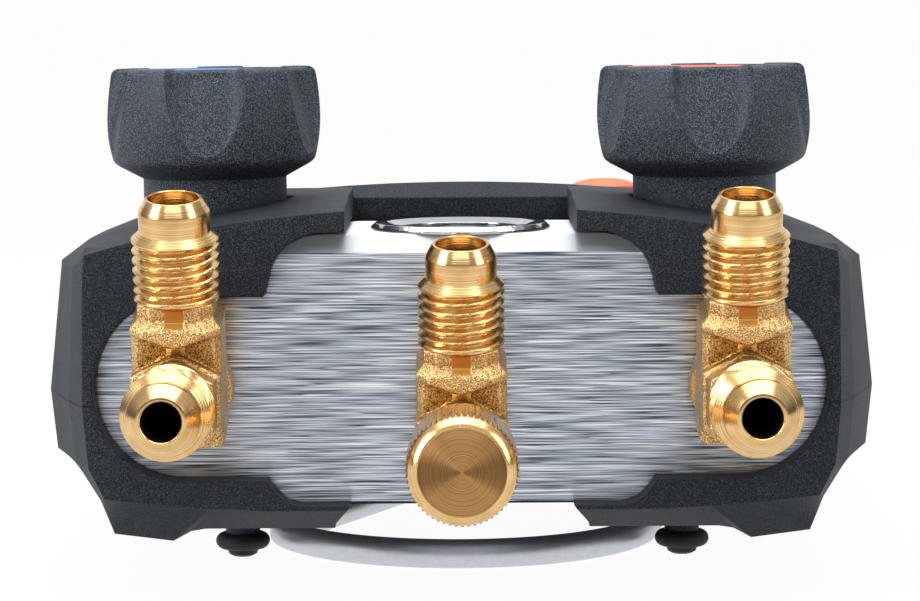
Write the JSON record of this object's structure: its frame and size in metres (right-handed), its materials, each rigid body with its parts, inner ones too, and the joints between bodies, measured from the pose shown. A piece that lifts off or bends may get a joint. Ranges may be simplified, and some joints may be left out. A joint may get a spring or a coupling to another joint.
{
  "type": "refrigerant manifold gauge",
  "caption": "Digital refrigerant manifold gauge with hand valves, brass flare ports, a sight glass, a keypad display housing and a folding hanging hook.",
  "frame": {"origin": "under the middle of the outline, on the plane the gauge rests on with its display up", "axes": "+X to the right seen from the display side with the ports towards the viewer, +Y from the hose ports to the display end, +Z out of the display face"},
  "size_m": [0.1124, 0.229, 0.071],
  "materials": {
    "shell_black": "fine spark-eroded texture, matt",
    "knob_black": "fine spark-eroded texture, matt",
    "blue_inlay": "satin",
    "red_inlay": "satin",
    "orange_key": "satin",
    "key_grey": "satin",
    "brushed_aluminium": "brushed across the width",
    "chrome_ring": "polished",
    "sight_glass": "clear",
    "display_glass": "clear, dark border",
    "lcd_grey": "display film",
    "circuit_green": "solder resist",
    "switch_black": "moulded",
    "brass": "machined ends, grained forging",
    "rubber_black": "matt",
    "ptfe_white": "smooth",
    "satin_steel": "satin",
    "bracket_black": "matt",
    "cell_jacket": "printed sleeve, plain",
    "socket_black": "moulded"
  },
  "bodies": {
    "case": {"front_shell": "shell_black", "rear_shell": "shell_black", "valve_block": "brushed_aluminium", "sight_glass_ring": "chrome_ring", "sight_glass_window": "sight_glass", "sight_glass_seal": "rubber_black", "display_window": "display_glass", "lcd_module": "lcd_grey", "circuit_board": "circuit_green", "key_switches": "switch_black", "low_side_elbow": "brass", "high_side_elbow": "brass", "service_elbow": "brass", "low_side_bonnet": "brass", "high_side_bonnet": "brass", "low_side_sensor": "satin_steel", "high_side_sensor": "satin_steel", "hook_pin": "satin_steel", "hook_bracket": "bracket_black", "hose_parking_posts": "bracket_black", "parking_post_rings": "rubber_black", "foot_pads": "rubber_black", "case_screws": "satin_steel", "battery_tray": "switch_black", "battery_cells": "cell_jacket", "probe_sockets": "socket_black"},
    "low_side_valve": {"low_side_knob": "knob_black", "low_side_knob_disc": "blue_inlay", "low_side_spindle": "satin_steel"},
    "high_side_valve": {"high_side_knob": "knob_black", "high_side_knob_disc": "red_inlay", "high_side_spindle": "satin_steel"},
    "low_side_valve_plunger": {"low_side_plunger": "brass"},
    "high_side_valve_plunger": {"high_side_plunger": "brass"},
    "hook": {"folding_hook": "satin_steel"},
    "power_key_body": {"power_key": "orange_key"},
    "menu_key_1_body": {"menu_key_1": "key_grey"},
    "menu_key_2_body": {"menu_key_2": "key_grey"},
    "menu_key_3_body": {"menu_key_3": "key_grey"},
    "battery_lid_body": {"battery_lid": "shell_black"},
    "cap": {"sealing_cap": "brass", "cap_gasket": "ptfe_white"}
  },
  "joints": [
    {"name": "low_side_knob_turn", "type": "hinge", "parent": "case", "child": "low_side_valve", "pos_m": [-0.0336, -0.0565, 0.05], "axis": [0, 0, 1], "range_deg": [0, 900]},
    {"name": "low_side_plunger_lift", "type": "slide", "parent": "case", "child": "low_side_valve_plunger", "axis": [0, 0, 1], "range_m": [0, 0.003]},
    {"name": "high_side_knob_turn", "type": "hinge", "parent": "case", "child": "high_side_valve", "pos_m": [0.0336, -0.0565, 0.05], "axis": [0, 0, 1], "range_deg": [0, 900]},
    {"name": "high_side_plunger_lift", "type": "slide", "parent": "case", "child": "high_side_valve_plunger", "axis": [0, 0, 1], "range_m": [0, 0.003]},
    {"name": "hook_swing", "type": "hinge", "parent": "case", "child": "hook", "pos_m": [0, 0.0365, 0.004], "axis": [1, 0, 0], "range_deg": [0, 180]},
    {"name": "power_key_press", "type": "slide", "parent": "case", "child": "power_key_body", "axis": [0, -0.0785, -0.9969], "range_m": [0, 0.0008], "stiffness_N_per_m": 1500, "springref_m": -0.0002},
    {"name": "menu_key_1_press", "type": "slide", "parent": "case", "child": "menu_key_1_body", "axis": [0, -0.0785, -0.9969], "range_m": [0, 0.0008], "stiffness_N_per_m": 1500, "springref_m": -0.0002},
    {"name": "menu_key_2_press", "type": "slide", "parent": "case", "child": "menu_key_2_body", "axis": [0, -0.0785, -0.9969], "range_m": [0, 0.0008], "stiffness_N_per_m": 1500, "springref_m": -0.0002},
    {"name": "menu_key_3_press", "type": "slide", "parent": "case", "child": "menu_key_3_body", "axis": [0, -0.0785, -0.9969], "range_m": [0, 0.0008], "stiffness_N_per_m": 1500, "springref_m": -0.0002},
    {"name": "battery_lid_off", "type": "slide", "parent": "case", "child": "battery_lid_body", "axis": [0, 0, -1], "range_m": [0, 0.02]},
    {"name": "cap_unscrew", "type": "slide", "parent": "case", "child": "cap", "axis": [0, -1, 0], "range_m": [0, 0.014]}
  ],
  "couplings": [
    {"joint": "low_side_knob_turn", "follows": "low_side_plunger_lift", "rad_per_m": 5236},
    {"joint": "high_side_knob_turn", "follows": "high_side_plunger_lift", "rad_per_m": 5236}
  ]
}
